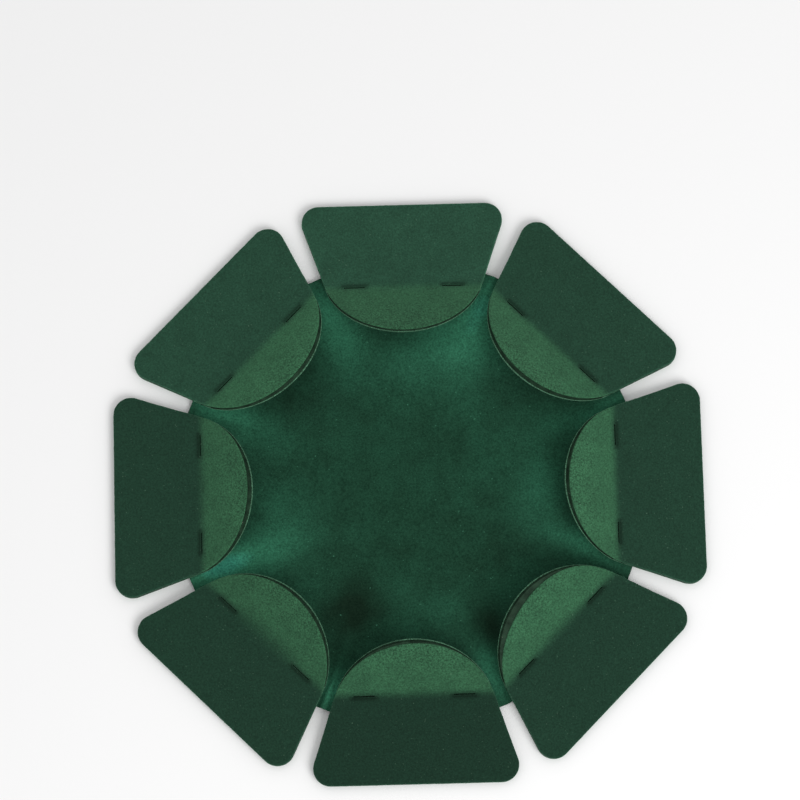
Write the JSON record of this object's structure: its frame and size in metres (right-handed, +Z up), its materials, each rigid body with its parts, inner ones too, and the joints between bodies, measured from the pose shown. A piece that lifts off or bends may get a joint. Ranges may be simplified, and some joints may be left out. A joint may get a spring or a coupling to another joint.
{
  "type": "putting cup",
  "caption": "Flat round putting target: a velvet mat ringed by bent, velour-covered steel flaps that let a golf ball roll in and hold it there.",
  "frame": {"origin": "centre of the mat's underside, on the floor", "axes": "+Z up, the axis that the flaps repeat about; flap 1 points along +X and the others follow anticlockwise seen from above"},
  "size_m": [0.19, 0.19, 0.0143],
  "materials": {
    "velvet": "deep green satin velvet, uneven pile",
    "backing": "dark green woven cloth",
    "top_velour": "short flocked velour",
    "under_velour": "short flocked velour, pale cut edge",
    "steel": "cut edge stained dark green, bare metal at the slot ends",
    "glue": "hot-melt glue, translucent amber"
  },
  "bodies": {
    "mat": {"mat_velvet": "velvet", "mat_backing": "backing"},
    "flap_1": {"flap_1_plate": "steel", "flap_1_top_velour": "top_velour", "flap_1_under_velour": "under_velour", "flap_1_glue": "glue"},
    "flap_2": {"flap_2_plate": "steel", "flap_2_top_velour": "top_velour", "flap_2_under_velour": "under_velour", "flap_2_glue": "glue"},
    "flap_3": {"flap_3_plate": "steel", "flap_3_top_velour": "top_velour", "flap_3_under_velour": "under_velour", "flap_3_glue": "glue"},
    "flap_4": {"flap_4_plate": "steel", "flap_4_top_velour": "top_velour", "flap_4_under_velour": "under_velour", "flap_4_glue": "glue"},
    "flap_5": {"flap_5_plate": "steel", "flap_5_top_velour": "top_velour", "flap_5_under_velour": "under_velour", "flap_5_glue": "glue"},
    "flap_6": {"flap_6_plate": "steel", "flap_6_top_velour": "top_velour", "flap_6_under_velour": "under_velour", "flap_6_glue": "glue"},
    "flap_7": {"flap_7_plate": "steel", "flap_7_top_velour": "top_velour", "flap_7_under_velour": "under_velour", "flap_7_glue": "glue"},
    "flap_8": {"flap_8_plate": "steel", "flap_8_top_velour": "top_velour", "flap_8_under_velour": "under_velour", "flap_8_glue": "glue"}
  },
  "joints": [
    {"name": "flap_1_hinge", "type": "hinge", "parent": "mat", "child": "flap_1", "pos_m": [0.06628, 0, 0.00254], "axis": [0, -1, 0], "range_deg": [0, 32]},
    {"name": "flap_2_hinge", "type": "hinge", "parent": "mat", "child": "flap_2", "pos_m": [0.04687, 0.04687, 0.00254], "axis": [0.7071, -0.7071, 0], "range_deg": [0, 32]},
    {"name": "flap_3_hinge", "type": "hinge", "parent": "mat", "child": "flap_3", "pos_m": [0, 0.06628, 0.00254], "axis": [1, 0, 0], "range_deg": [0, 32]},
    {"name": "flap_4_hinge", "type": "hinge", "parent": "mat", "child": "flap_4", "pos_m": [-0.04687, 0.04687, 0.00254], "axis": [0.7071, 0.7071, 0], "range_deg": [0, 32]},
    {"name": "flap_5_hinge", "type": "hinge", "parent": "mat", "child": "flap_5", "pos_m": [-0.06628, 0, 0.00254], "axis": [0, 1, 0], "range_deg": [0, 32]},
    {"name": "flap_6_hinge", "type": "hinge", "parent": "mat", "child": "flap_6", "pos_m": [-0.04687, -0.04687, 0.00254], "axis": [-0.7071, 0.7071, 0], "range_deg": [0, 32]},
    {"name": "flap_7_hinge", "type": "hinge", "parent": "mat", "child": "flap_7", "pos_m": [0, -0.06628, 0.00254], "axis": [-1, 0, 0], "range_deg": [0, 32]},
    {"name": "flap_8_hinge", "type": "hinge", "parent": "mat", "child": "flap_8", "pos_m": [0.04687, -0.04687, 0.00254], "axis": [-0.7071, -0.7071, 0], "range_deg": [0, 32]}
  ]
}
